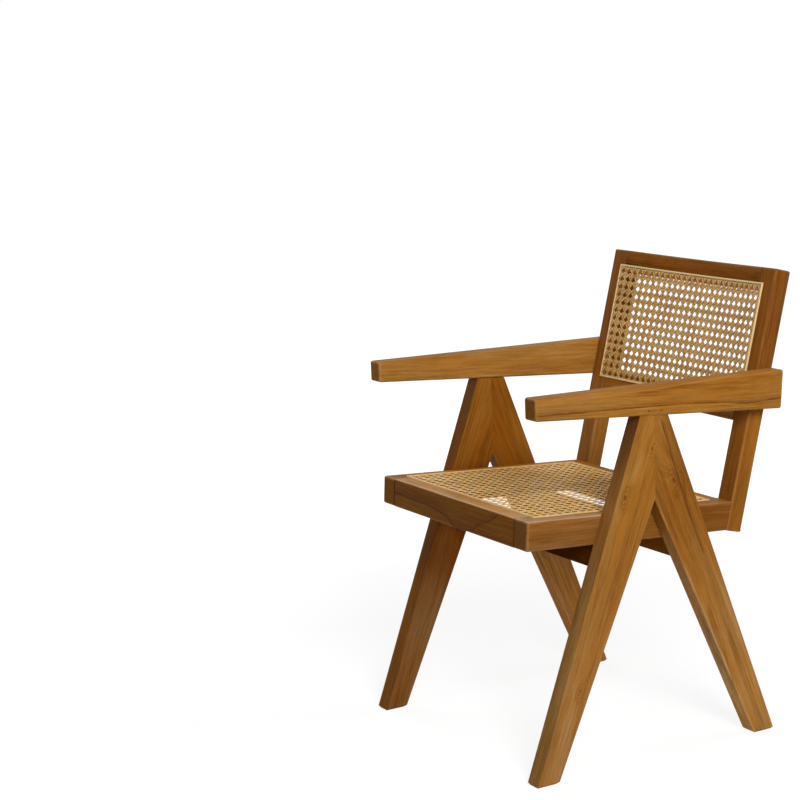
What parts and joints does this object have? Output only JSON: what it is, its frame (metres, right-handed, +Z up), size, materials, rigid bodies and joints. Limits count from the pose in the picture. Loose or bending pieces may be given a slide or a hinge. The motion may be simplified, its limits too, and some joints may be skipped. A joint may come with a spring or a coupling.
{
  "type": "armchair",
  "caption": "Wooden armchair with V-shaped leg frames that carry tapered arms, a sloped seat and a leaning, bowed back of open cane, joined with pegged tenons.",
  "frame": {"origin": "on the floor under the middle of the chair's overall box", "axes": "+Z up, the front of the seat faces -Y, +X is the sitter's left"},
  "size_m": [0.519, 0.5737, 0.7949],
  "materials": {
    "teak": "oiled, satin, straight grain",
    "cane": "natural rattan, woven open, satin",
    "spline": "round rattan strip, satin"
  },
  "bodies": {
    "root": {"arm_pegs": "teak", "arm_post_tenons": "teak", "armrest_left": "teak", "armrest_right": "teak", "back_cane": "cane", "back_cane_spline": "spline", "back_lower_rail": "teak", "back_post_left": "teak", "back_post_right": "teak", "back_top_rail": "teak", "front_cross_beam": "teak", "front_leg_left": "teak", "front_leg_right": "teak", "leg_mitre_tenons": "teak", "leg_rail_tenons": "teak", "rear_cross_beam": "teak", "rear_leg_left": "teak", "rear_leg_right": "teak", "seat_cane": "cane", "seat_cane_spline": "spline", "seat_front_rail": "teak", "seat_rear_rail": "teak", "seat_side_rail_left": "teak", "seat_side_rail_right": "teak"}
  },
  "joints": []
}
